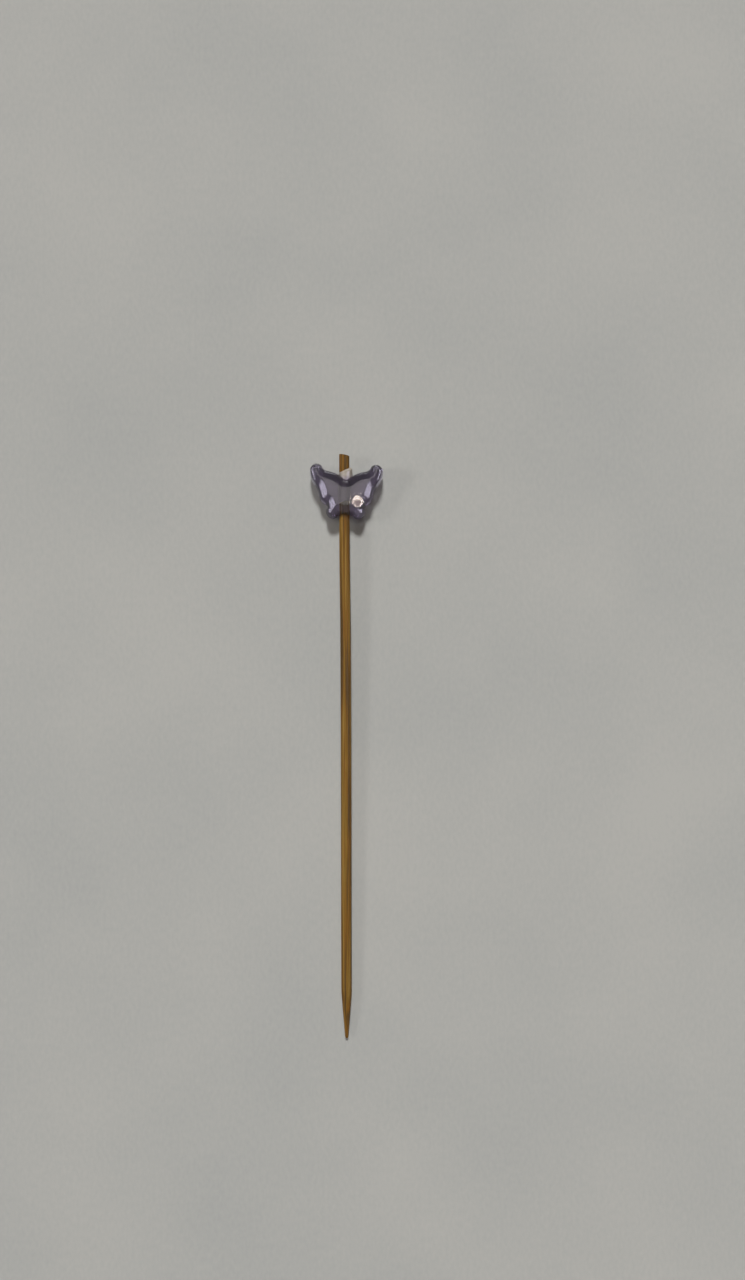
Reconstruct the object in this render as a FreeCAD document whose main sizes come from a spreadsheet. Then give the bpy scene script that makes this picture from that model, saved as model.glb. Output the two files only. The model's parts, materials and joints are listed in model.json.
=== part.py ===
import FreeCAD, Part

import os
from math import acos, atan2, cos, hypot, pi, radians, sin, sqrt, tan

import Sketcher

V = FreeCAD.Vector
ORIGIN, Y_AXIS = range(-1, -3, -1)
START, END, CENTRE = range(1, 4)
LEFT, RIGHT = 1, -1

# A food pick: a bamboo skewer with a clear butterfly bead near its blunt end.
# Lengths are in millimetres and angles in degrees. The pick's own frame has its origin where the
# bead's mid height crosses the skewer's axis, +Y towards the blunt head end, +X across the wings.
SIZES = {
    # The skewer, round and sharpened at one end
    "skewer_length": 120.0,
    "shaft_diameter": 2.18,
    "head_diameter": 2.12,
    "head_reach": 7.6,
    "cut_slant": 11.0,
    "point_length": 10.6,
    "nose_radius": 0.34,
    "shoulder_radius": 25.0,
    "thinning_gap": 1.5,
    # The bead's outline, one wing from the notch at the head round to the tail
    "vee_height": 2.3,
    "vee_radius": 0.7,
    "wing_top": 4.1,
    "wing_top_radius": 5.7,
    "dip_radius": 1.0,
    "knob_reach": 6.05,
    "knob_height": 4.05,
    "knob_radius": 1.45,
    "side_radius": 4.3,
    "hollow_radius": 4.0,
    "corner_reach": 3.75,
    "corner_drop": 0.96,
    "corner_radius": 1.75,
    "waist_radius": 0.5,
    "lobe_reach": 2.55,
    "lobe_drop": 4.1,
    "lobe_radius": 1.47,
    "notch_radius": 0.4,
    "tail_drop": 5.05,
    "tail_radius": 1.6,
    # The bead's section, and how it sits on the skewer
    "bead_thickness": 5.0,
    "edge_round": 0.72,
    "bore_clearance": 0.12,
    "bead_shift": 0.35,
    "bead_turn": 1.4,
    # The dab of glue in the notch
    "glue_radius": 1.5,
    "glue_shift": 0.25,
    "glue_rim": 0.7,
    "glue_top": 4.9,
    "glue_slant": 19.0,
    "glue_depth": 1.6,
}

# The most of a corner's radius, and of the thickness, that the bead's rounded edges may take
CORNER_SHARE = 0.9
THICKNESS_SHARE = 0.45
# How far off a face's plane a corner may lie and still count as one of its own
ON_PLANE = 1e-6

# Values that follow from the sizes, as the sheet's own formulas
EDGE = (
    "min(sizes.edge_round; {corner} * sizes.knob_radius; {corner} * sizes.lobe_radius;"
    " {thickness} * sizes.bead_thickness)"
).format(corner=CORNER_SHARE, thickness=THICKNESS_SHARE)
BORE_RADIUS = "(max(sizes.shaft_diameter; sizes.head_diameter) / 2 + sizes.bore_clearance)"
TIP_Y = "(sizes.head_reach - sizes.skewer_length)"
SHOULDER_Y = "(sizes.head_reach - sizes.skewer_length + sizes.point_length)"
SEAT_Y = "(-sizes.lobe_drop - sizes.lobe_radius)"
THINNING_Y = "(-sizes.lobe_drop - sizes.lobe_radius - sizes.thinning_gap)"
LOBE_Y = "(%s - sizes.lobe_drop - sizes.lobe_radius)" % EDGE

# At rest the pick lies on two rounded edges: the tail lobes' and the skewer's shoulder. Both are
# arcs seen from the side, so the lean is that of the line that touches the two circles from below.
RUN = "(%s - %s)" % (LOBE_Y, SHOULDER_Y)
RISE = "(sizes.bead_thickness / 2 - %s + sizes.shoulder_radius - sizes.shaft_diameter / 2)" % EDGE
LEAN = "(asin((%s - sizes.shoulder_radius) / sqrt(%s ^ 2 + %s ^ 2)) + atan(%s / %s))" % (
    EDGE, RUN, RISE, RISE, RUN,
)
LIFT = (
    "(sizes.shoulder_radius - %s * sin(%s)"
    " - (sizes.shoulder_radius - sizes.shaft_diameter / 2) * cos(%s))"
) % (SHOULDER_Y, LEAN, LEAN)
MIDDLE = "((sizes.skewer_length / 2 - sizes.head_reach) * cos(%s))" % LEAN
RESTING = "placement(vector(-sizes.bead_shift; %s; %s); rotation(vector(1; 0; 0); %s))" % (
    MIDDLE, LIFT, LEAN,
)


def blend(first, second, radius, side):
    """The circle of the given radius that touches two others from outside, on one side of them."""
    dx, dy = second[0] - first[0], second[1] - first[1]
    apart = hypot(dx, dy)
    reach_first, reach_second = first[2] + radius, second[2] + radius
    along = (reach_first**2 - reach_second**2 + apart**2) / (2 * apart)
    off = side * sqrt(reach_first**2 - along**2)
    return (
        first[0] + (dx * along - dy * off) / apart,
        first[1] + (dy * along + dx * off) / apart,
        radius,
    )


def touch(first, second):
    """Where two circles that touch from outside meet."""
    apart = hypot(second[0] - first[0], second[1] - first[1])
    share = first[2] / apart
    return (first[0] + (second[0] - first[0]) * share, first[1] + (second[1] - first[1]) * share)


def arc_between(circle, begin, end, turn=LEFT):
    """The arc of a circle from one point to another, turning left or right on its way."""
    cx, cy, radius = circle
    start = atan2(begin[1] - cy, begin[0] - cx)
    sweep = (atan2(end[1] - cy, end[0] - cx) - start) * turn % (2 * pi)
    halfway = start + turn * sweep / 2
    middle = V(cx + radius * cos(halfway), cy + radius * sin(halfway), 0)
    return Part.Arc(V(*begin, 0), middle, V(*end, 0))


def wing_outline(size):
    """One wing's circles, in order from the notch at the head to the tail, and their meetings."""
    vee = (0, size["vee_height"] + size["vee_radius"], size["vee_radius"])
    top_y = size["wing_top"] - size["wing_top_radius"]
    top_reach = size["wing_top_radius"] + size["vee_radius"]
    top = (sqrt(top_reach**2 - (top_y - vee[1]) ** 2), top_y, size["wing_top_radius"])
    knob = (size["knob_reach"], size["knob_height"], size["knob_radius"])
    side = (knob[0] + knob[2] - size["side_radius"], knob[1], size["side_radius"])
    corner = (size["corner_reach"], -size["corner_drop"], size["corner_radius"])
    lobe = (size["lobe_reach"], -size["lobe_drop"], size["lobe_radius"])
    tail = (0, -size["tail_drop"] + size["tail_radius"], size["tail_radius"])
    circles = {
        "vee": vee,
        "wing_top": top,
        "dip": blend(top, knob, size["dip_radius"], 1),
        "knob": knob,
        "side": side,
        "hollow": blend(side, corner, size["hollow_radius"], 1),
        "corner": corner,
        "waist": blend(corner, lobe, size["waist_radius"], 1),
        "lobe": lobe,
        "notch": blend(lobe, tail, size["notch_radius"], 1),
        "tail": tail,
    }
    names = list(circles)
    points = [(0, size["vee_height"])]
    for name, following in zip(names, names[1:]):
        if name == "knob":
            points.append((knob[0] + knob[2], knob[1]))
        else:
            points.append(touch(circles[name], circles[following]))
    points.append((0, -size["tail_drop"]))
    return circles, points


def sheet_of_sizes(doc):
    sheet = doc.addObject("Spreadsheet::Sheet", "sizes")
    for row, (name, value) in enumerate(SIZES.items(), 1):
        sheet.set("A%d" % row, name)
        sheet.set("B%d" % row, str(value))
        sheet.setAlias("B%d" % row, name)
    doc.recompute()
    return sheet


def new_body(doc, label):
    body = doc.addObject("PartDesign::Body", label)
    body.Label = label
    doc.recompute()
    return body


def origin_plane(body, role):
    for feature in body.Origin.OriginFeatures:
        if feature.Role == role:
            return feature
    raise ValueError("no origin plane " + role)


def new_sketch(body, name, role):
    sketch = body.newObject("Sketcher::SketchObject", name)
    sketch.AttachmentSupport = [(origin_plane(body, role), "")]
    sketch.MapMode = "FlatFace"
    return sketch


def end_at(sketch, edge, point):
    """Which end of a sketch edge lies at a point: an arc may be stored the other way round."""
    start = sketch.getPoint(edge, START)
    finish = sketch.getPoint(edge, END)
    near = hypot(start.x - point[0], start.y - point[1])
    far = hypot(finish.x - point[0], finish.y - point[1])
    return START if near < far else END


def bind(sketch, kind, places, value, formula, name):
    """Adds a dimension to a sketch, names it and ties it to the sheet."""
    index = sketch.addConstraint(Sketcher.Constraint(kind, *places, value))
    sketch.renameConstraint(index, name)
    sketch.setExpression("Constraints." + name, formula)


def check_sketch(sketch):
    if sketch.solve() != 0:
        raise RuntimeError("sketch %s can't be solved" % sketch.Name)


def polygon(sketch, corners):
    """A closed run of straight edges, joined end to end; gives the index of its first edge."""
    first = sketch.GeometryCount
    count = len(corners)
    for i in range(count):
        begin, end = corners[i], corners[(i + 1) % count]
        sketch.addGeometry(Part.LineSegment(V(*begin, 0), V(*end, 0)), False)
    for i in range(count):
        following = first + (i + 1) % count
        sketch.addConstraint(Sketcher.Constraint("Coincident", first + i, END, following, START))
    return first


# The skewer

def skewer_profile(body, size):
    """Half the skewer's section along its length, from the nose to a blank past the head end."""
    shaft = size["shaft_diameter"] / 2
    head = size["head_diameter"] / 2
    nose = size["nose_radius"]
    shoulder = size["shoulder_radius"]
    tip_y = size["head_reach"] - size["skewer_length"]
    shoulder_y = tip_y + size["point_length"]
    seat_y = -size["lobe_drop"] - size["lobe_radius"]
    thinning_y = seat_y - size["thinning_gap"]
    blank_y = size["head_reach"] + size["shaft_diameter"]

    # The flank touches the nose's circle and the shoulder's on their outer side
    across, along = shaft - shoulder, shoulder_y - tip_y - nose
    flank = atan2(along, across) - acos((nose - shoulder) / hypot(across, along))
    nose_end = (nose * cos(flank), tip_y + nose + nose * sin(flank))
    shoulder_start = (shaft - shoulder + shoulder * cos(flank), shoulder_y + shoulder * sin(flank))

    sketch = new_sketch(body, "skewer_section", "XY_Plane")
    nose_arc = sketch.addGeometry(
        arc_between((0, tip_y + nose, nose), (0, tip_y), nose_end), False)
    flank_line = sketch.addGeometry(
        Part.LineSegment(V(*nose_end, 0), V(*shoulder_start, 0)), False)
    shoulder_arc = sketch.addGeometry(
        arc_between((shaft - shoulder, shoulder_y, shoulder), shoulder_start,
                    (shaft, shoulder_y)), False)
    corners = [(shaft, shoulder_y), (shaft, thinning_y), (head, seat_y), (head, blank_y),
               (0, blank_y), (0, tip_y)]
    lines = []
    for begin, end in zip(corners, corners[1:]):
        lines.append(sketch.addGeometry(Part.LineSegment(V(*begin, 0), V(*end, 0)), False))
    shaft_line, thinning_line, seat_line, head_line, axis_line = lines

    def join(kind, first, second, point):
        sketch.addConstraint(Sketcher.Constraint(
            kind, first, end_at(sketch, first, point), second, end_at(sketch, second, point)))

    join("Tangent", nose_arc, flank_line, nose_end)
    join("Tangent", flank_line, shoulder_arc, shoulder_start)
    join("Tangent", shoulder_arc, shaft_line, corners[0])
    join("Coincident", shaft_line, thinning_line, corners[1])
    join("Coincident", thinning_line, seat_line, corners[2])
    join("Coincident", seat_line, head_line, corners[3])
    join("Coincident", head_line, axis_line, corners[4])
    join("Coincident", axis_line, nose_arc, corners[5])
    sketch.addConstraint(Sketcher.Constraint("Vertical", shaft_line))
    sketch.addConstraint(Sketcher.Constraint("Vertical", seat_line))
    sketch.addConstraint(Sketcher.Constraint("Horizontal", head_line))
    sketch.addConstraint(Sketcher.Constraint("PointOnObject", axis_line, START, Y_AXIS))
    sketch.addConstraint(Sketcher.Constraint("PointOnObject", axis_line, END, Y_AXIS))
    sketch.addConstraint(Sketcher.Constraint("PointOnObject", nose_arc, CENTRE, Y_AXIS))
    bind(sketch, "Radius", (nose_arc,), nose, "sizes.nose_radius", "nose")
    bind(sketch, "Radius", (shoulder_arc,), shoulder, "sizes.shoulder_radius", "shoulder")
    bind(sketch, "DistanceY", (ORIGIN, 1, axis_line, END), tip_y, TIP_Y, "tip")
    bind(sketch, "DistanceX", (ORIGIN, 1, shaft_line, START), shaft,
         "sizes.shaft_diameter / 2", "shaft")
    bind(sketch, "DistanceY", (ORIGIN, 1, shaft_line, START), shoulder_y, SHOULDER_Y, "shoulder_y")
    bind(sketch, "DistanceY", (ORIGIN, 1, shaft_line, END), thinning_y, THINNING_Y, "thinning")
    bind(sketch, "DistanceX", (ORIGIN, 1, seat_line, START), head,
         "sizes.head_diameter / 2", "head")
    bind(sketch, "DistanceY", (ORIGIN, 1, seat_line, START), seat_y, SEAT_Y, "seat")
    bind(sketch, "DistanceY", (ORIGIN, 1, head_line, START), blank_y,
         "sizes.head_reach + sizes.shaft_diameter", "blank")
    check_sketch(sketch)
    return sketch


def waste_profile(body, name, half_width, width_text, high, high_text, slant, slant_text):
    """What a slanted cut takes away: it falls to the right from a height at minus half_width."""
    side = 2 * half_width
    slope = tan(radians(slant))
    left_y = high + half_width * slope
    right_y = high - 3 * half_width * slope
    top_y = high + 4 * half_width
    sketch = new_sketch(body, name, "XY_Plane")
    cut_line = polygon(sketch, [(-side, left_y), (side, right_y), (side, top_y), (-side, top_y)])
    sketch.addConstraint(Sketcher.Constraint("Vertical", cut_line + 1))
    sketch.addConstraint(Sketcher.Constraint("Horizontal", cut_line + 2))
    sketch.addConstraint(Sketcher.Constraint("Vertical", cut_line + 3))
    side_text = "2 * (%s)" % width_text
    slope_text = "tan(%s * 1 deg)" % slant_text
    bind(sketch, "DistanceX", (cut_line, START, ORIGIN, 1), side, side_text, "left")
    bind(sketch, "DistanceX", (ORIGIN, 1, cut_line, END), side, side_text, "right")
    bind(sketch, "DistanceY", (ORIGIN, 1, cut_line, START), left_y,
         "%s + (%s) * %s" % (high_text, width_text, slope_text), "left_y")
    bind(sketch, "DistanceY", (ORIGIN, 1, cut_line, END), right_y,
         "%s - 3 * (%s) * %s" % (high_text, width_text, slope_text), "right_y")
    bind(sketch, "DistanceY", (ORIGIN, 1, cut_line + 2, START), top_y,
         "%s + 4 * (%s)" % (high_text, width_text), "waste")
    check_sketch(sketch)
    return sketch


def make_skewer(doc, size):
    body = new_body(doc, "skewer")
    turned = body.newObject("PartDesign::Revolution", "sharpened_stick")
    turned.Profile = skewer_profile(body, size)
    turned.ReferenceAxis = (turned.Profile[0], ["V_Axis"])
    turned.Angle = 360
    doc.recompute()

    cut = body.newObject("PartDesign::Pocket", "slanted_cut")
    cut.Profile = waste_profile(body, "head_cut", size["head_diameter"] / 2,
                                "sizes.head_diameter / 2", size["head_reach"],
                                "sizes.head_reach", size["cut_slant"], "sizes.cut_slant")
    cut.Midplane = True
    cut.Length = 3 * size["shaft_diameter"]
    cut.setExpression("Length", "3 * sizes.shaft_diameter")
    body.Tip = cut
    return body


# The butterfly bead

HOLLOWS = ("vee", "dip", "hollow", "waist", "notch")


def bead_outline(body, size):
    """One wing's outline of tangent arcs, closed along the bead's middle line."""
    circles, points = wing_outline(size)
    sketch = new_sketch(body, "wing_outline", "XY_Plane")
    shift = FreeCAD.Placement(V(size["bead_shift"], 0, 0),
                              FreeCAD.Rotation(V(0, 0, 1), -size["bead_turn"]))
    sketch.AttachmentOffset = shift
    sketch.setExpression(
        "AttachmentOffset",
        "placement(vector(sizes.bead_shift; 0; 0); rotation(vector(0; 0; 1); -sizes.bead_turn))")
    arcs = {}
    for (name, circle), begin, end in zip(circles.items(), points, points[1:]):
        turn = LEFT if name in HOLLOWS else RIGHT
        arcs[name] = sketch.addGeometry(arc_between(circle, begin, end, turn), False)
    middle = sketch.addGeometry(Part.LineSegment(V(*points[-1], 0), V(*points[0], 0)), False)

    names = list(arcs)
    for name, following, point in zip(names, names[1:], points[1:]):
        first, second = arcs[name], arcs[following]
        sketch.addConstraint(Sketcher.Constraint(
            "Tangent", first, end_at(sketch, first, point), second, end_at(sketch, second, point)))
    for name, point, line_end in (("vee", points[0], END), ("tail", points[-1], START)):
        edge = arcs[name]
        sketch.addConstraint(Sketcher.Constraint(
            "Coincident", edge, end_at(sketch, edge, point), middle, line_end))
        sketch.addConstraint(Sketcher.Constraint("PointOnObject", middle, line_end, Y_AXIS))
        sketch.addConstraint(Sketcher.Constraint("PointOnObject", edge, CENTRE, Y_AXIS))

    for name, edge in arcs.items():
        bind(sketch, "Radius", (edge,), size[name + "_radius"], "sizes.%s_radius" % name, name)
    bind(sketch, "DistanceY", (ORIGIN, 1, middle, END), size["vee_height"],
         "sizes.vee_height", "vee_height")
    bind(sketch, "DistanceY", (arcs["wing_top"], CENTRE, ORIGIN, 1), -circles["wing_top"][1],
         "sizes.wing_top_radius - sizes.wing_top", "wing_top_height")
    bind(sketch, "DistanceX", (ORIGIN, 1, arcs["knob"], CENTRE), size["knob_reach"],
         "sizes.knob_reach", "knob_reach")
    bind(sketch, "DistanceY", (ORIGIN, 1, arcs["knob"], CENTRE), size["knob_height"],
         "sizes.knob_height", "knob_height")
    bind(sketch, "DistanceY", (ORIGIN, 1, arcs["side"], CENTRE), size["knob_height"],
         "sizes.knob_height", "side_height")
    for name in ("corner", "lobe"):
        bind(sketch, "DistanceX", (ORIGIN, 1, arcs[name], CENTRE), size[name + "_reach"],
             "sizes.%s_reach" % name, name + "_reach")
        bind(sketch, "DistanceY", (arcs[name], CENTRE, ORIGIN, 1), size[name + "_drop"],
             "sizes.%s_drop" % name, name + "_drop")
    bind(sketch, "DistanceY", (middle, START, ORIGIN, 1), size["tail_drop"],
         "sizes.tail_drop", "tail_drop")
    check_sketch(sketch)
    return sketch


def rim_edges(shape):
    """The edges round a prism's flat top and bottom."""
    levels = (shape.BoundBox.ZMin, shape.BoundBox.ZMax)
    return [
        "Edge%d" % i
        for i, edge in enumerate(shape.Edges, 1)
        if any(all(abs(vertex.Z - level) < ON_PLANE for vertex in edge.Vertexes) for level in levels)
    ]


def make_bead(doc, size):
    """One wing mirrored to the other, rounded above and below like a pillow, and bored."""
    body = new_body(doc, "butterfly_bead")
    outline = bead_outline(body, size)
    wing = body.newObject("PartDesign::Pad", "wing")
    wing.Profile = outline
    wing.Midplane = True
    wing.Length = size["bead_thickness"]
    wing.setExpression("Length", "sizes.bead_thickness")
    doc.recompute()

    both = body.newObject("PartDesign::Mirrored", "both_wings")
    both.TransformMode = "Whole shape"
    both.MirrorPlane = (outline, ["V_Axis"])
    body.Tip = both
    doc.recompute()

    pillow = body.newObject("PartDesign::Fillet", "pillow_edges")
    pillow.Base = (both, rim_edges(both.Shape))
    pillow.Radius = size["edge_round"]
    pillow.setExpression("Radius", EDGE)
    doc.recompute()

    bore_sketch = new_sketch(body, "bore_section", "XZ_Plane")
    widest = max(size["shaft_diameter"], size["head_diameter"])
    bore_radius = widest / 2 + size["bore_clearance"]
    circle = bore_sketch.addGeometry(Part.Circle(V(0, 0, 0), V(0, 0, 1), bore_radius), False)
    bore_sketch.addConstraint(Sketcher.Constraint("Coincident", circle, CENTRE, ORIGIN, 1))
    bind(bore_sketch, "Radius", (circle,), bore_radius, BORE_RADIUS, "bore")
    check_sketch(bore_sketch)
    before = pillow.Shape.Volume
    bore = body.newObject("PartDesign::Pocket", "bore")
    bore.Profile = bore_sketch
    bore.Midplane = True
    bore.Type = "ThroughAll"
    body.Tip = bore
    doc.recompute()
    if bore.Shape.Volume >= before:
        raise RuntimeError("the bore cuts nothing")
    return body


# The dab of glue

def glue_profile(body, size):
    """Half the glue's section round a line beside the skewer's axis, with a round upper rim."""
    low = size["vee_height"] - size["glue_depth"]
    widest, rim, top = size["glue_radius"], size["glue_rim"], size["glue_top"]
    corners = [(widest - rim, top), (0, top), (0, low), (widest, low), (widest, top - rim)]
    sketch = new_sketch(body, "glue_section", "XY_Plane")
    shift = FreeCAD.Placement(V(size["glue_shift"], 0, 0), FreeCAD.Rotation())
    sketch.AttachmentOffset = shift
    sketch.setExpression("AttachmentOffset.Base.x", "sizes.glue_shift")
    lines = []
    for begin, end in zip(corners, corners[1:]):
        lines.append(sketch.addGeometry(Part.LineSegment(V(*begin, 0), V(*end, 0)), False))
    top_line, axis_line, low_line, wall_line = lines
    rim_arc = sketch.addGeometry(
        arc_between((widest - rim, top - rim, rim), corners[-1], corners[0]), False)
    for first, second in zip(lines, lines[1:]):
        sketch.addConstraint(Sketcher.Constraint("Coincident", first, END, second, START))
    wall_end = end_at(sketch, rim_arc, corners[-1])
    top_end = end_at(sketch, rim_arc, corners[0])
    sketch.addConstraint(Sketcher.Constraint("Tangent", wall_line, END, rim_arc, wall_end))
    sketch.addConstraint(Sketcher.Constraint("Tangent", rim_arc, top_end, top_line, START))
    sketch.addConstraint(Sketcher.Constraint("Horizontal", top_line))
    sketch.addConstraint(Sketcher.Constraint("Horizontal", low_line))
    sketch.addConstraint(Sketcher.Constraint("Vertical", wall_line))
    sketch.addConstraint(Sketcher.Constraint("PointOnObject", axis_line, START, Y_AXIS))
    sketch.addConstraint(Sketcher.Constraint("PointOnObject", axis_line, END, Y_AXIS))
    bind(sketch, "Radius", (rim_arc,), rim, "sizes.glue_rim", "rim")
    bind(sketch, "DistanceX", (low_line, START, low_line, END), widest,
         "sizes.glue_radius", "widest")
    bind(sketch, "DistanceY", (ORIGIN, 1, axis_line, START), top, "sizes.glue_top", "top")
    bind(sketch, "DistanceY", (ORIGIN, 1, low_line, END), low,
         "sizes.vee_height - sizes.glue_depth", "low")
    check_sketch(sketch)
    return sketch


def make_glue(doc, size, bead, skewer):
    """A collar of glue in the notch, run a little way into the bore, shaped by what it sits on."""
    blank = new_body(doc, "glue_blank")
    collar = blank.newObject("PartDesign::Revolution", "glue_collar")
    collar.Profile = glue_profile(blank, size)
    collar.ReferenceAxis = (collar.Profile[0], ["V_Axis"])
    collar.Angle = 360
    doc.recompute()

    slant = blank.newObject("PartDesign::Pocket", "slanted_rim")
    slant.Profile = waste_profile(blank, "rim_cut", size["glue_radius"], "sizes.glue_radius",
                                  size["glue_top"], "sizes.glue_top",
                                  -size["glue_slant"], "(-sizes.glue_slant)")
    slant.Midplane = True
    slant.Length = 4 * size["glue_radius"]
    slant.setExpression("Length", "4 * sizes.glue_radius")
    doc.recompute()

    round_bead = doc.addObject("Part::Cut", "glue_round_bead")
    round_bead.Base = blank
    round_bead.Tool = bead
    glue = doc.addObject("Part::Cut", "glue_dab")
    glue.Label = "glue_dab"
    glue.Base = round_bead
    glue.Tool = skewer
    return blank, glue


def check_document(doc):
    for thing in doc.Objects:
        if "Invalid" in thing.State or "Error" in thing.State:
            raise RuntimeError("%s failed: %s" % (thing.Name, thing.State))


def export(parts):
    os.makedirs("parts", exist_ok=True)
    for part in parts:
        shape = part.Shape
        if shape.isNull() or not shape.isValid():
            raise RuntimeError("%s has no valid shape" % part.Label)
        shape.exportStep("parts/%s.step" % part.Label)
        print(part.Label, len(shape.Solids), round(shape.Volume, 3), shape.BoundBox)


def main():
    doc = FreeCAD.newDocument("butterfly_food_pick")
    sheet_of_sizes(doc)
    skewer = make_skewer(doc, SIZES)
    bead = make_bead(doc, SIZES)
    glue_blank, glue = make_glue(doc, SIZES, bead, skewer)
    for part in (skewer, bead, glue_blank):
        part.setExpression("Placement", RESTING)
    doc.recompute()
    check_document(doc)
    export([skewer, bead, glue])


main()
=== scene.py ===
import json
from math import acos, atan2, cos, hypot, pi, radians, sin, sqrt, tan

import bpy
import numpy as np
from mathutils import Matrix, Vector


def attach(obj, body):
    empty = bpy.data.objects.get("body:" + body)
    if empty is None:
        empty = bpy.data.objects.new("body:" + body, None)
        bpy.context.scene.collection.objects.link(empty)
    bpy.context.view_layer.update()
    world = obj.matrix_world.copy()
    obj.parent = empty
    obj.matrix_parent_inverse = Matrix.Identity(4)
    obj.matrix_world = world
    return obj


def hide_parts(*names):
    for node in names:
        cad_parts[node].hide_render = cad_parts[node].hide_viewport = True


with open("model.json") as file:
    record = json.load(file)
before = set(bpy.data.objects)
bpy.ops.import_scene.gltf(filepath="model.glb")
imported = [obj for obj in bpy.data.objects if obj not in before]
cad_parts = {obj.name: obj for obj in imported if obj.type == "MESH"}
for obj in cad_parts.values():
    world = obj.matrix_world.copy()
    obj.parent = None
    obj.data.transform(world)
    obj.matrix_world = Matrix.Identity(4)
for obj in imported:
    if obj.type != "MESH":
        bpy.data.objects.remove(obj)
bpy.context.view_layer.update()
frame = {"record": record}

# A food pick lying on paper: a bamboo skewer through a clear lilac butterfly bead, with a dab of
# glue in the notch between the wings. Sizes are in millimetres and angles in degrees; the meshes
# are turned into metres when they are made. The pick's own frame has its origin where the bead's
# mid height crosses the skewer's axis, +Y towards the blunt head end and +X across the wings.
MM = 0.001

# The stick: its lengths, the radii of its shaft and its thinned head, the radii of its point's nose
# and shoulder, and the slant of its cut end
SKEWER = {
    "length": 120.0,
    "shaft": 1.09,
    "head": 1.06,
    "head_reach": 7.6,
    "cut_slant": 11.0,
    "point_length": 10.6,
    "nose": 0.34,
    "shoulder": 25.0,
    "thinning_gap": 1.5,
}
# Where below the bead the stick starts to bend, and where it runs on along its new line; how far to
# one side that line is; and the slow wave in it, which turns by a radian in each WAVE_PACE
BEND_START = 9.0
BEND_END = 29.0
BEND_SHIFT = 0.14
WAVE_HEIGHT = 0.03
WAVE_START = 22.0
WAVE_PACE = 16.0
# Its mesh: the points round it, the gaps between its rings, and the rings on its nose, which start
# at so many radians from the tip
AROUND = 120
FIRST_GAP = 0.3
RING_GAP = 0.4
NOSE_RINGS = 8
NOSE_OPENING = 0.12
# Its fibre ridges, as the sum of some waves: their height and the stick's inset for them, as shares
# of its radius, how many ridges go round it in a wave, and how far and fast along it a wave sways
GRAIN_SEED = 7
RIDGE_WAVES = 14
RIDGE_HEIGHT = 0.022
RIDGE_INSET = 0.02
RIDGES_AROUND = (9, 34)
RIDGE_SWAY = 1.5
SWAY_RATE = (0.02, 0.09)
# Its cut end: how far down the head the slant dies out, the rings across the end as shares of its
# rim, the height of the fibres inside the smooth rim, and how far the end stands out
SLANT_FADE = 3.0
CUT_RINGS = (0.97, 0.85, 0.68, 0.5, 0.3, 0.12)
SMOOTH_RIM = 0.9
FIBRE_HEIGHT = 0.03
CUT_CROWN = 0.02

# The butterfly's outline: the arcs of one wing, from the notch at the head to the tail
OUTLINE = {
    "vee_height": 2.3,
    "vee_radius": 0.7,
    "wing_top": 4.1,
    "wing_top_radius": 5.7,
    "dip_radius": 1.0,
    "knob_reach": 6.05,
    "knob_height": 4.05,
    "knob_radius": 1.45,
    "side_radius": 4.3,
    "hollow_radius": 4.0,
    "corner_reach": 3.75,
    "corner_drop": 0.96,
    "corner_radius": 1.75,
    "waist_radius": 0.5,
    "lobe_reach": 2.55,
    "lobe_drop": 4.1,
    "lobe_radius": 1.47,
    "notch_radius": 0.4,
    "tail_drop": 5.05,
    "tail_radius": 1.6,
}
BEAD_THICKNESS = 5.0
BEAD_SHIFT = 0.35
BEAD_TURN = 1.4
# How wide the faces' rims are rounded, and how wide and steep the front's bevel inside its rim is
FRONT_RIM = 0.55
BACK_RIM = 0.7
BEVEL_WIDTH = 1.75
BEVEL_SLOPE = 20.0
# The bevel is shallower on the knobs: its slope there, and where across and along it fades to it
KNOB_SLOPE = 8.0
FADE_ACROSS = (4.8, 5.8)
FADE_ALONG = (0.2, 2.2)
# How far the relief of a face is softened
PILLOW_BLUR = 0.16
# The flat round mark that the mould's gate leaves on one wing
MARK_PLACE = (2.75, -2.35)
MARK_RADIUS = 1.6
MARK_EDGE = 0.4
MARK_SINK = 0.02
# The bore, which lies close on the stick, its flared mouth at the tail, and how steeply its field
# rises and how far its edges are rounded
BORE_CONTACT = 1.0
BORE_MOUTH = 1.22
TAIL_END = -5.05
MOUTH_DEPTH = 0.25
BORE_STEEPNESS = 0.8
BORE_ROUND = 0.08

# The glue: its core, a little inside the stick; the blob in the notch, whose top is on a slant; and
# the film down the bore
GLUE_CORE = 0.85
GLUE_SHIFT = 0.25
GLUE_RADIUS = 1.45
GLUE_TOP = 4.35
GLUE_SLANT = 19.0
FILM_RADIUS = 1.2
FILM_TOP = 3.0
FILM_END = -2.2
# How uneven it is: the lumps on the blob, and the ripples of its top and of the film's end
LUMP_HEIGHT = 0.05
TOP_RIPPLE = 0.08
END_RIPPLE = 0.25
# How far its edges are rounded: at the blob's top, at its foot, along the bead, at the film's ends,
# and where blob, film and core meet; and how steeply the foot's field rises
TOP_ROUND = 0.8
FOOT_ROUND = 0.3
BEAD_ROUND = 0.2
FILM_ROUND = 0.2
JOIN_ROUND = 0.3
FOOT_STEEPNESS = 0.8
# Where along the row frame its colour turns from the blob's to the film's, whose darker,
# lilac-tinged colour is painted shade for the bore inside the bead
FILM_SHADE_FADE = (55.5, 54.5)

# The boxes in which the surfaces are looked for, the steps of their nets, how often a net's points
# are then pulled onto the surface, and the least steepness that a pull allows for
BEAD_BOX = ((-8.3, -6.2, -2.8), (8.6, 6.3, 2.8))
BEAD_STEP = 0.1
GLUE_BOX = ((-1.9, -3.2, -2.0), (2.4, 5.9, 2.0))
GLUE_STEP = 0.07
PULLS = 4
FLATTEST = 1e-6
# By how much an arc has to be closer than another, so that rounding doesn't choose between them
TIE = 1e-9

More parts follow.
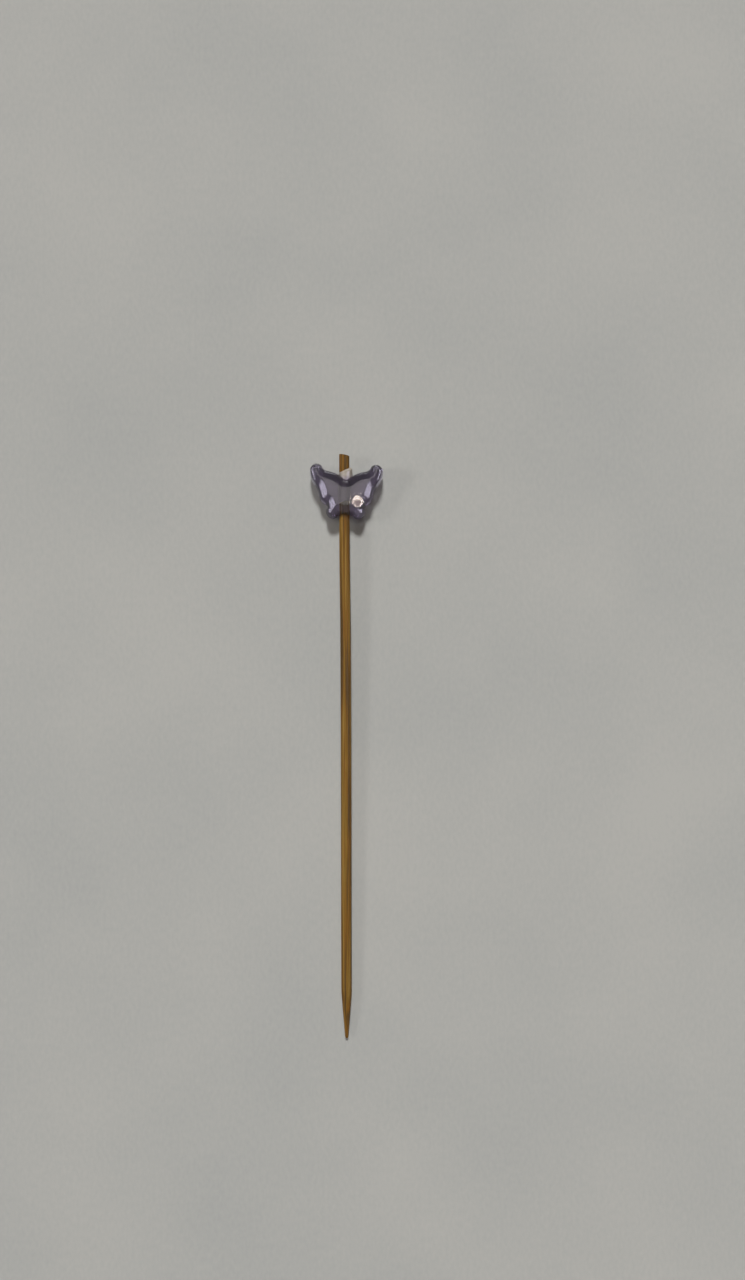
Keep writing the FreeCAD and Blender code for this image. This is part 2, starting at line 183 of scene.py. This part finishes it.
# The camera: its place in the row frame, its turn about its own axis, and its lens and sensor
CAMERA_PLACE = (5.31, 22.05, 191.5)
CAMERA_ROLL = -0.167
LENS = 26.0
SENSOR = 36.0


def heading(tilt, around):
    """The way to a light, so far off straight up, and round from +Y towards +X."""
    out = sin(radians(tilt))
    return (out * sin(radians(around)), out * cos(radians(around)), cos(radians(tilt)))


# The room's plain light, and what the camera, gloss and the view through the bead see beyond it
ROOM = (0.085, 0.072, 0.062)
PALE_ROOM = (0.3, 0.3, 0.3)
# Soft areas of light in the room: the way to each, its half width and soft edge, and its colour
PANELS = [
    (heading(9, 0), 14, 2, (2.2, 2.08, 1.98)),
]
# More of them, whose light on the paper the sun lamps stand for: these show in gloss alone
GLEAMS = [
    # The windows at the two sides
    (heading(42, 90), 19, 8, (7.6, 7.1, 8.6)),
    (heading(42, -90), 19, 8, (7.6, 7.1, 8.6)),
    # A low one past the head end, and a weak one towards the point
    (heading(80, 0), 24, 5, (3.6, 3.6, 3.8)),
    (heading(42, 180), 22, 8, (0.7, 0.55, 0.65)),
    # A small ring lamp: its disc, and what the hole and the two gaps take out of it
    (heading(6.9, -7.5), 0.38, 0.08, (22.0, 19.0, 16.5)),
    (heading(6.9, -7.5), 0.2, 0.08, (-20.0, -18.0, -16.0)),
    (heading(6.83, -9.95), 0.07, 0.05, (-12.0, -10.5, -9.0)),
    (heading(6.64, -7.0), 0.07, 0.05, (-12.0, -10.5, -9.0)),
]


# The pick's own frame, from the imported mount

def pick_frame():
    """Turns points of the pick's own frame, in millimetres, into the row frame, in metres."""
    mount = frame["record"]["mounts"][0]
    forward = -Vector(mount["axis"]).normalized()
    across = Vector((1, 0, 0))
    up = across.cross(forward)
    shoulder_y = SKEWER["head_reach"] - SKEWER["length"] + SKEWER["point_length"]
    thinning_y = -OUTLINE["lobe_drop"] - OUTLINE["lobe_radius"] - SKEWER["thinning_gap"]
    origin = Vector(mount["pos_m"]) - forward * (shoulder_y + thinning_y) / 2 * MM
    axes = Matrix((across, forward, up)).transposed().to_4x4()
    return Matrix.Translation(origin) @ axes @ Matrix.Scale(MM, 4)


# Meshes

def mesh_object(name, points, faces, material, normals=None):
    """A smooth mesh object that rides on the part, from points of the pick's own frame."""
    placed = pick_frame()
    spots = np.asarray(points) @ np.array(placed.to_3x3()).T + np.array(placed.translation)
    mesh = bpy.data.meshes.new(name)
    mesh.from_pydata(spots.tolist(), [], [tuple(int(i) for i in face) for face in faces])
    mesh.validate()
    mesh.shade_smooth()
    if normals is not None:
        turned = np.asarray(normals) @ np.array(placed.to_3x3().normalized()).T
        mesh.normals_split_custom_set_from_vertices(turned.tolist())
    mesh.materials.append(material)
    piece = bpy.data.objects.new(name, mesh)
    bpy.context.scene.collection.objects.link(piece)
    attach(piece, "root")
    return piece


def smoothstep(share):
    """A share from 0 to 1, with an even start and end."""
    return share**2 * (3 - 2 * share)


def smooth_max(first, second, width):
    """The larger of two fields, with the edge where they cross rounded off."""
    mixed = np.clip(0.5 + 0.5 * (first - second) / width, 0, 1)
    return second + (first - second) * mixed + width * mixed * (1 - mixed)


def smooth_min(first, second, width):
    """The smaller of two fields, with the edge where they cross rounded off."""
    return -smooth_max(-first, -second, width)


def gradient(field, points, reach):
    """The way in which a field rises at some points, and how steeply."""
    slopes = np.empty_like(points)
    for axis in range(3):
        step = np.zeros(3)
        step[axis] = reach
        slopes[:, axis] = (field(points + step) - field(points - step)) / (2 * reach)
    return slopes


def surface_net(field, low, high, step):
    """A quad mesh of the surface where a field of points is zero, and its normals."""
    axes = [np.arange(a, b + step, step) for a, b in zip(low, high)]
    grid = np.stack(np.meshgrid(*axes, indexing="ij"), -1)
    values = field(grid.reshape(-1, 3)).reshape(grid.shape[:3])
    cells = tuple(n - 1 for n in values.shape)
    total = np.zeros((np.prod(cells), 3))
    count = np.zeros(np.prod(cells))
    rings = []
    for axis in range(3):
        before = np.moveaxis(values, axis, 0)[:-1]
        after = np.moveaxis(values, axis, 0)[1:]
        spots = np.argwhere((before < 0) != (after < 0))
        here = before[tuple(spots.T)]
        share = here / (here - after[tuple(spots.T)])
        edges = np.insert(spots[:, 1:], axis, spots[:, 0], axis=1)
        crossing = edges.astype(float)
        crossing[:, axis] += share
        u, v = [other for other in range(3) if other != axis]
        ring = []
        for du, dv in ((0, 0), (1, 0), (1, 1), (0, 1)):
            cell = edges.copy()
            cell[:, u] -= du
            cell[:, v] -= dv
            flat = np.ravel_multi_index(cell.T, cells)
            np.add.at(total, flat, crossing)
            np.add.at(count, flat, 1)
            ring.append(flat)
        ring = np.stack(ring, 1)
        backward = (here < 0) == (axis == 1)
        ring[backward] = ring[backward][:, ::-1]
        rings.append(ring)
    used = np.flatnonzero(count)
    index = np.full(len(count), -1)
    index[used] = np.arange(len(used))
    points = total[used] / count[used, None] * step + np.array(low)
    for _ in range(PULLS):
        slope = gradient(field, points, step / 4)
        steepness = np.maximum((slope**2).sum(1), FLATTEST)
        move = slope * (field(points) / steepness)[:, None]
        points -= np.clip(move, -step / 2, step / 2)
    slope = gradient(field, points, step / 4)
    normals = slope / np.linalg.norm(slope, axis=1)[:, None]
    return points, index[np.concatenate(rings)], normals


# The bead

def blend(first, second, radius):
    """The circle of the given radius that touches two others from outside, on their left."""
    dx, dy = second[0] - first[0], second[1] - first[1]
    apart = hypot(dx, dy)
    along = ((first[2] + radius) ** 2 - (second[2] + radius) ** 2 + apart**2) / (2 * apart)
    off = sqrt((first[2] + radius) ** 2 - along**2)
    return (
        first[0] + (dx * along - dy * off) / apart,
        first[1] + (dy * along + dx * off) / apart,
        radius,
    )


def touch(first, second):
    """Where two circles that touch from outside meet."""
    share = first[2] / hypot(second[0] - first[0], second[1] - first[1])
    return (first[0] + (second[0] - first[0]) * share, first[1] + (second[1] - first[1]) * share)


def wing_arcs():
    """One wing's arcs from the notch at the head to the tail, each with its two ends."""
    size = OUTLINE
    vee = (0, size["vee_height"] + size["vee_radius"], size["vee_radius"])
    top_y = size["wing_top"] - size["wing_top_radius"]
    top_reach = size["wing_top_radius"] + size["vee_radius"]
    top = (sqrt(top_reach**2 - (top_y - vee[1]) ** 2), top_y, size["wing_top_radius"])
    knob = (size["knob_reach"], size["knob_height"], size["knob_radius"])
    side = (knob[0] + knob[2] - size["side_radius"], knob[1], size["side_radius"])
    corner = (size["corner_reach"], -size["corner_drop"], size["corner_radius"])
    lobe = (size["lobe_reach"], -size["lobe_drop"], size["lobe_radius"])
    tail = (0, -size["tail_drop"] + size["tail_radius"], size["tail_radius"])
    circles = [
        (vee, True),
        (top, False),
        (blend(top, knob, size["dip_radius"]), True),
        (knob, False),
        (side, False),
        (blend(side, corner, size["hollow_radius"]), True),
        (corner, False),
        (blend(corner, lobe, size["waist_radius"]), True),
        (lobe, False),
        (blend(lobe, tail, size["notch_radius"]), True),
        (tail, False),
    ]
    points = [(0, size["vee_height"])]
    for (circle, hollow), (following, _) in zip(circles, circles[1:]):
        if circle is knob:
            points.append((knob[0] + knob[2], knob[1]))
        else:
            points.append(touch(circle, following))
    points.append((0, -size["tail_drop"]))
    return [(circle, hollow, begin, end)
            for (circle, hollow), begin, end in zip(circles, points, points[1:])]


def outline_depth(x, y):
    """How far points lie inside the bead's outline, and less than nothing outside it."""
    x = np.abs(x)
    nearest = np.full(x.shape, np.inf)
    depth = np.zeros(x.shape)
    for (cx, cy, radius), hollow, begin, end in wing_arcs():
        turn = 1 if hollow else -1
        start = atan2(begin[1] - cy, begin[0] - cx)
        sweep = (atan2(end[1] - cy, end[0] - cx) - start) * turn % (2 * pi)
        reach = np.hypot(x - cx, y - cy)
        angle = (np.arctan2(y - cy, x - cx) - start) * turn % (2 * pi)
        to_ends = np.minimum(np.hypot(x - begin[0], y - begin[1]), np.hypot(x - end[0], y - end[1]))
        away = np.where(angle <= sweep, np.abs(reach - radius), to_ends)
        inner = (reach - radius) * turn
        closer = away < nearest - TIE
        nearest = np.where(closer, away, nearest)
        depth = np.where(closer, np.copysign(away, inner), depth)
    return depth


def blurred(values, sigma):
    """A grid of values, softened by a bell curve as wide as so many of its steps."""
    reach = int(3 * sigma) + 1
    weights = np.exp(-0.5 * (np.arange(-reach, reach + 1) / sigma) ** 2)
    weights /= weights.sum()
    for axis in (0, 1):
        padded = np.pad(values, [(reach, reach) if a == axis else (0, 0) for a in (0, 1)], "edge")
        values = sum(weight * np.take(padded, range(i, i + values.shape[axis]), axis)
                     for i, weight in enumerate(weights))
    return values


def spline_weights(t):
    """What each of four neighbours counts, at a share t of the way between the middle two."""
    return (
        (1 - t) ** 3 / 6,
        (3 * t**3 - 6 * t**2 + 4) / 6,
        (-3 * t**3 + 3 * t**2 + 3 * t + 1) / 6,
        t**3 / 6,
    )


class PillowMap:
    """How one face of the bead falls off towards its outline, on a fine grid of its plane."""

    STEP = 0.05
    LOW = (-9.0, -7.5)
    HIGH = (9.0, 7.5)

    def __init__(self, rim, bevel_width):
        axes = [np.arange(a, b, self.STEP) for a, b in zip(self.LOW, self.HIGH)]
        x, y = np.meshgrid(*axes, indexing="ij")
        depth = outline_depth(x, y)
        rounded = 1 - (1 - np.clip(depth, -rim / 4, rim) / rim) ** 2
        knob = np.interp(np.abs(x), FADE_ACROSS, (0, 1)) * np.interp(y, FADE_ALONG, (0, 1))
        slope = np.radians(BEVEL_SLOPE + (KNOB_SLOPE - BEVEL_SLOPE) * knob)
        sunk = np.tan(slope) * np.clip(bevel_width - depth, 0, bevel_width)
        fall = 1 - rounded * (1 - sunk / (BEAD_THICKNESS / 2)) ** 2
        self.values = blurred(fall, PILLOW_BLUR / self.STEP)

    def at(self, x, y):
        """The fall at any points, by a smooth spline over the grid."""
        u = (x - self.LOW[0]) / self.STEP
        v = (y - self.LOW[1]) / self.STEP
        i = np.clip(u.astype(int), 1, self.values.shape[0] - 3)
        j = np.clip(v.astype(int), 1, self.values.shape[1] - 3)
        found = 0
        for a, wa in zip(range(-1, 3), spline_weights(u - i)):
            for b, wb in zip(range(-1, 3), spline_weights(v - j)):
                found = found + wa * wb * self.values[i + a, j + b]
        return found


front = PillowMap(FRONT_RIM, BEVEL_WIDTH)
back = PillowMap(BACK_RIM, 0)


def pillow_field(points):
    """Less than nothing inside the bead's rounded form, with no bore."""
    x, y, z = points.T
    turn = radians(BEAD_TURN)
    across = (x - BEAD_SHIFT) * cos(turn) - y * sin(turn)
    along = (x - BEAD_SHIFT) * sin(turn) + y * cos(turn)
    fall = np.where(z > 0, front.at(across, along), back.at(across, along))
    from_mark = np.hypot(x - MARK_PLACE[0], y - MARK_PLACE[1])
    inside = np.clip((MARK_RADIUS - from_mark) / MARK_EDGE, 0, 1) * (z > 0)
    fall = fall + (MARK_SINK - fall) * smoothstep(inside)
    return (z / (BEAD_THICKNESS / 2)) ** 2 + fall - 1


def bead_field(points):
    """Less than nothing inside the bead: its rounded form less its bore."""
    x, y, z = points.T
    from_tail = np.clip((y - TAIL_END) / MOUTH_DEPTH, 0, 1)
    bore = BORE_MOUTH + (BORE_CONTACT - BORE_MOUTH) * from_tail
    in_bore = BORE_STEEPNESS * (bore - np.hypot(x, z))
    return smooth_max(pillow_field(points), in_bore, BORE_ROUND)


def make_bead(material):
    """The moulded butterfly: pillow-edged above and below, and bored for the skewer."""
    points, faces, normals = surface_net(bead_field, *BEAD_BOX, BEAD_STEP)
    bead = mesh_object("clear_butterfly", points, faces, material, normals)
    bead.cycles.is_caustics_caster = True
    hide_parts("butterfly_bead")


# The glue

def glue_field(points):
    """A blob in the notch, and the film that ran from it down the bore."""
    x, y, z = points.T
    # The waves here have lengths and starts that are unlike, so that they make no pattern
    off_axis = np.hypot(x - GLUE_SHIFT, z)
    lumps = LUMP_HEIGHT * np.sin(2.1 * y + 1.3 * x) * np.cos(1.7 * z + 0.6)
    top = GLUE_TOP + np.tan(radians(GLUE_SLANT)) * x + TOP_RIPPLE * np.sin(3.0 * z + 1.0)
    blob = smooth_max(off_axis - GLUE_RADIUS - lumps, y - top, TOP_ROUND)
    blob = smooth_max(blob, -FOOT_STEEPNESS * y, FOOT_ROUND)
    blob = smooth_max(blob, -pillow_field(points), BEAD_ROUND)
    end = FILM_END + END_RIPPLE * np.sin(2.2 * x + 0.4)
    film = smooth_max(np.hypot(x, z) - FILM_RADIUS, end - y, FILM_ROUND)
    film = smooth_max(film, y - FILM_TOP, FILM_ROUND)
    return smooth_max(smooth_min(blob, film, JOIN_ROUND), GLUE_CORE - np.hypot(x, z), JOIN_ROUND)


def make_glue(material):
    """The dried glue in the notch and down the bore."""
    points, faces, normals = surface_net(glue_field, *GLUE_BOX, GLUE_STEP)
    glue = mesh_object("glue_blob", points, faces, material, normals)
    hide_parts("glue_dab")


# The skewer

def skewer_radius(y):
    """The stick's radius along its length, from the nose to the thinned head end."""
    shaft, nose, shoulder = SKEWER["shaft"], SKEWER["nose"], SKEWER["shoulder"]
    tip_y = SKEWER["head_reach"] - SKEWER["length"]
    shoulder_y = tip_y + SKEWER["point_length"]
    seat_y = -OUTLINE["lobe_drop"] - OUTLINE["lobe_radius"]
    across, along = shaft - shoulder, shoulder_y - tip_y - nose
    flank = atan2(along, across) - acos((nose - shoulder) / hypot(across, along))
    nose_y = tip_y + nose + nose * sin(flank)
    bend_y = shoulder_y + shoulder * sin(flank)
    if y < nose_y:
        return sqrt(max(nose**2 - (y - tip_y - nose) ** 2, 0))
    if y < bend_y:
        return nose * cos(flank) - (y - nose_y) * tan(flank)
    if y < shoulder_y:
        return shaft - shoulder + sqrt(shoulder**2 - (y - shoulder_y) ** 2)
    thinned = min(max((y - seat_y) / SKEWER["thinning_gap"] + 1, 0), 1)
    return shaft + (SKEWER["head"] - shaft) * thinned


def make_skewer(material):
    """The stick with its lengthwise fibre ridges, a slight bend, and the fibres of its cut end."""
    draw = np.random.default_rng(GRAIN_SEED)
    angle = np.arange(AROUND) * 2 * pi / AROUND
    head_y = SKEWER["head_reach"]
    tip_y = head_y - SKEWER["length"]
    nose_angle = np.linspace(NOSE_OPENING, pi / 2, NOSE_RINGS)
    nose_steps = tip_y + SKEWER["nose"] * (1 - np.cos(nose_angle))
    shaft_steps = np.arange(nose_steps[-1] + FIRST_GAP, head_y, RING_GAP)
    waves = [(draw.integers(*RIDGES_AROUND), draw.uniform(0, 2 * pi), draw.uniform(*SWAY_RATE),
              draw.uniform(0, 2 * pi)) for _ in range(RIDGE_WAVES)]
    rings = []
    for y in np.concatenate([nose_steps, shaft_steps, [head_y]]):
        ridge = sum(np.sin(n * angle + phase + RIDGE_SWAY * sin(rate * y + start))
                    for n, phase, rate, start in waves) / len(waves)
        radius = skewer_radius(y) * (1 - RIDGE_INSET + RIDGE_HEIGHT * ridge)
        near_bead = np.clip((y + BEND_END) / (BEND_END - BEND_START), 0, 1)
        line = BEND_SHIFT - WAVE_HEIGHT * sin((y + WAVE_START) / WAVE_PACE)
        bend = line * (1 - smoothstep(near_bead))
        x = radius * np.cos(angle)
        z = radius * np.sin(angle)
        near_head = np.clip((y - head_y) / SLANT_FADE + 1, 0, 1) ** 2
        drop = (x + SKEWER["shaft"]) * tan(radians(SKEWER["cut_slant"])) * near_head
        rings.append(np.stack([x + bend, y - drop, z], 1))
    rim = rings[-1]
    centre = rim.mean(0)
    for share in CUT_RINGS:
        ring = centre + (rim - centre) * share
        ring[:, 1] += FIBRE_HEIGHT * (share < SMOOTH_RIM) * draw.uniform(-1, 1, AROUND)
        ring[:, 1] += CUT_CROWN
        rings.append(ring)
    last = (len(rings) - 1) * AROUND
    faces = []
    for here in range(0, last, AROUND):
        for i in range(AROUND):
            j = (i + 1) % AROUND
            faces.append((here + i, here + AROUND + i, here + AROUND + j, here + j))
    faces.append(tuple(range(last, last + AROUND))[::-1])
    faces.append(tuple(range(AROUND)))
    skewer = mesh_object("bamboo_skewer", np.concatenate(rings), faces, material)
    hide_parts("skewer")


# Materials

class Look:
    """A material's node tree, with short ways to add to it."""

    def __init__(self, name):
        self.material = bpy.data.materials.new(name)
        self.material.use_nodes = True
        self.tree = self.material.node_tree
        self.shader = self.tree.nodes["Principled BSDF"]
        self.output = self.tree.nodes["Material Output"]

    def add(self, kind, settings=None, **values):
        """A node with the given settings and socket values; a value may be another socket."""
        node = self.tree.nodes.new("ShaderNode" + kind)
        for key, value in (settings or {}).items():
            setattr(node, key, value)
        self.put(node, **values)
        return node

    def put(self, node, **values):
        """Sets or links a node's sockets by name, the first of each name."""
        names = {}
        for socket in node.inputs:
            names.setdefault(socket.name.replace(" ", "_"), socket)
        for key, value in values.items():
            socket = names[key]
            if isinstance(value, bpy.types.NodeSocket):
                self.tree.links.new(value, socket)
            else:
                socket.default_value = value

    def noise(self, scale, detail):
        """A noise over the row frame, with about so many grains a metre along each axis."""
        place = self.add("TexCoord").outputs["Object"]
        stretched = self.add("Mapping", Vector=place, Scale=scale).outputs["Vector"]
        return self.add("TexNoise", Vector=stretched, Scale=1.0, Detail=detail).outputs["Fac"]

    def weighed(self, first, weight, second):
        """The first value times its weight, plus the second."""
        node = self.add("Math", {"operation": "MULTIPLY_ADD"}, Value=first)
        node.inputs[1].default_value = weight
        self.tree.links.new(second, node.inputs[2])
        return node.outputs["Value"]

    def ramp(self, factor, *stops):
        """Colours by a factor, from (place, colour) stops."""
        node = self.add("ValToRGB", Fac=factor)
        elements = node.color_ramp.elements
        while len(elements) < len(stops):
            elements.new(0.5)
        for element, (place, colour) in zip(elements, stops):
            element.position = place
            element.color = (*colour, 1)
        return node.outputs["Color"]

    def bump(self, height, distance, strength):
        """Lets a height, of so many millimetres at most, roughen the shading."""
        node = self.add("Bump", Height=height, Distance=distance * MM, Strength=strength)
        self.tree.links.new(node.outputs["Normal"], self.shader.inputs["Normal"])


def srgb(red, green, blue):
    """A colour as a screen shows it, from 0 to 255, as the linear one that a shader takes."""
    shares = [channel / 255 for channel in (red, green, blue)]
    return tuple(s / 12.92 if s <= 0.04045 else ((s + 0.055) / 1.055) ** 2.4 for s in shares)


def bamboo():
    """Warm brown bamboo with fine fibres along the stick."""
    look = Look("bamboo")
    fibres = look.noise(scale=(3600, 60, 3600), detail=3.0)
    broad = look.noise(scale=(1700, 28, 1700), detail=2.0)
    colour = look.ramp(look.weighed(fibres, 0.5, broad), (0.6, srgb(62, 44, 10)),
                       (0.7, srgb(88, 62, 16)), (0.76, srgb(105, 70, 18)),
                       (0.82, srgb(102, 78, 26)), (0.92, srgb(126, 97, 44)))
    look.put(look.shader, Base_Color=colour, Roughness=0.6, Specular_IOR_Level=0.25)
    look.bump(fibres, distance=0.04, strength=0.6)
    return look.material


def clear_lilac():
    """Polished transparent lilac acrylic, tinted in its depth, with faint moulding waves."""
    look = Look("clear_lilac")
    look.put(look.shader, Base_Color=(0.97, 0.96, 0.99, 1), Roughness=0.012, IOR=1.49,
             Transmission_Weight=1.0)
    tint = look.add("VolumeAbsorption", Color=(0.45, 0.38, 0.56, 1), Density=300.0)
    look.tree.links.new(tint.outputs["Volume"], look.output.inputs["Volume"])
    look.bump(look.noise(scale=(420, 420, 420), detail=2.0), distance=0.008, strength=0.35)
    return look.material


def milky_glue():
    """Dried glue, milky and a little uneven, with painted shade on its film down the bore: a
    darker, lilac-tinged colour for where it shows through the bead.
    """
    look = Look("milky_glue")
    clouds = look.noise(scale=(800, 800, 800), detail=3.0)
    blob = look.ramp(clouds, (0.3, srgb(130, 124, 115)), (0.7, srgb(164, 155, 142)))
    # Painted shade: the film's colour is darker and lilac-tinged, standing for the shade in the
    # bore under the bead, and the mask below turns the glue to it down the bore
    film = look.ramp(clouds, (0.3, srgb(110, 100, 116)), (0.7, srgb(124, 113, 128)))
    place = look.add("SeparateXYZ", Vector=look.add("TexCoord").outputs["Object"])
    in_bore = look.add("MapRange", Value=place.outputs["Y"], From_Min=FILM_SHADE_FADE[0] * MM,
                       From_Max=FILM_SHADE_FADE[1] * MM)
    # A Mix node has its sockets for colours behind those for numbers and vectors
    mixed = look.add("Mix", {"data_type": "RGBA"}, Factor=in_bore.outputs["Result"])
    look.tree.links.new(blob, mixed.inputs[6])
    look.tree.links.new(film, mixed.inputs[7])
    look.put(look.shader, Base_Color=mixed.outputs[2], Roughness=0.3)
    look.bump(clouds, distance=0.03, strength=0.4)
    return look.material


def paper():
    """Pale grey paper with a fine grain and a faint mottle."""
    look = Look("paper")
    mottle = look.noise(scale=(22, 22, 22), detail=8.0)
    fine = look.noise(scale=(1400, 700, 900), detail=3.0)
    colour = look.ramp(look.weighed(fine, 0.6, mottle), (0.4, srgb(158, 160, 158)),
                       (1.0, srgb(171, 171, 167)))
    look.put(look.shader, Base_Color=colour, Roughness=0.9, Specular_IOR_Level=0.2)
    look.bump(fine, distance=0.03, strength=0.5)
    return look.material


# The stage: paper, lights and camera

def make_floor(material):
    """The paper, as a square sheet whose half width is in metres."""
    half = 2.0
    mesh = bpy.data.meshes.new("paper_floor")
    mesh.from_pydata([(-half, -half, 0), (half, -half, 0), (half, half, 0), (-half, half, 0)],
                     [], [(0, 1, 2, 3)])
    mesh.materials.append(material)
    floor = bpy.data.objects.new("paper_floor", mesh)
    bpy.context.scene.collection.objects.link(floor)
    floor.cycles.is_caustics_receiver = True


def make_sun(name, around, height, spread, share, colour):
    """A distant lamp: its way round from +Y, its height above the floor, and its share of light."""
    lamp = bpy.data.lights.new(name, "SUN")
    lamp.angle = radians(spread)
    lamp.energy = share * pi / sin(radians(height))
    lamp.color = colour
    lamp.cycles.is_caustics_light = True
    holder = bpy.data.objects.new(name, lamp)
    towards = Vector((sin(radians(around)) * cos(radians(height)),
                      cos(radians(around)) * cos(radians(height)), sin(radians(height))))
    holder.rotation_euler = towards.to_track_quat("Z", "Y").to_euler()
    holder.location = towards
    holder.visible_glossy = False
    bpy.context.scene.collection.objects.link(holder)


def make_sky():
    """A dim plain room with soft areas of light, which the bead's smooth faces mirror."""
    world = bpy.data.worlds.new("soft_room")
    world.use_nodes = True
    tree = world.node_tree

    def joined(kind, operation, *values):
        """A maths node over the given values or sockets."""
        node = tree.nodes.new("ShaderNode" + kind)
        node.operation = operation
        for socket, value in zip(node.inputs, values):
            if isinstance(value, bpy.types.NodeSocket):
                tree.links.new(value, socket)
            else:
                socket.default_value = value
        return node

    def scaled(colour, level):
        """A colour times a node's value."""
        node = joined("VectorMath", "SCALE", colour)
        tree.links.new(level.outputs[0], node.inputs["Scale"])
        return node.outputs[0]

    way = tree.nodes.new("ShaderNodeTexCoord").outputs["Generated"]
    path = tree.nodes.new("ShaderNodeLightPath").outputs
    mirrored = joined("Math", "SUBTRACT", path["Is Glossy Ray"], path["Is Transmission Ray"])
    mirrored.use_clamp = True
    seen = joined("Math", "MAXIMUM", path["Is Camera Ray"], path["Is Glossy Ray"])
    seen = joined("Math", "MAXIMUM", seen.outputs[0], path["Is Transmission Ray"])
    total = joined("VectorMath", "ADD", ROOM, scaled(PALE_ROOM, seen))
    areas = [(*panel, 1.0) for panel in PANELS]
    areas += [(*gleam, mirrored.outputs[0]) for gleam in GLEAMS]
    for towards, reach, softness, colour, share in areas:
        nearness = joined("VectorMath", "DOT_PRODUCT", way, Vector(towards).normalized())
        area = tree.nodes.new("ShaderNodeMapRange")
        area.interpolation_type = "SMOOTHSTEP"
        tree.links.new(nearness.outputs["Value"], area.inputs["Value"])
        area.inputs["From Min"].default_value = cos(radians(reach + softness))
        area.inputs["From Max"].default_value = cos(radians(reach - softness))
        level = joined("Math", "MULTIPLY", area.outputs["Result"], share)
        total = joined("VectorMath", "ADD", total.outputs[0], scaled(colour, level))
    tree.links.new(total.outputs[0], tree.nodes["Background"].inputs["Color"])
    bpy.context.scene.world = world


def make_camera():
    """Straight above the paper, where the photograph was taken from."""
    lens = bpy.data.cameras.new("camera")
    lens.lens = LENS
    lens.sensor_width = SENSOR
    lens.clip_start = 10 * MM
    camera = bpy.data.objects.new("camera", lens)
    camera.location = [value * MM for value in CAMERA_PLACE]
    camera.rotation_euler = (0, 0, radians(CAMERA_ROLL))
    bpy.context.scene.collection.objects.link(camera)
    bpy.context.scene.camera = camera


make_skewer(bamboo())
make_bead(clear_lilac())
make_glue(milky_glue())
make_floor(paper())
make_sun("main_light", around=0, height=50, spread=10, share=0.71, colour=(1.0, 1.0, 1.0))
make_sun("side_light", around=-90, height=34, spread=12, share=0.10, colour=(1.0, 0.97, 0.93))
make_sky()
make_camera()
bpy.context.scene.view_settings.view_transform = "Standard"
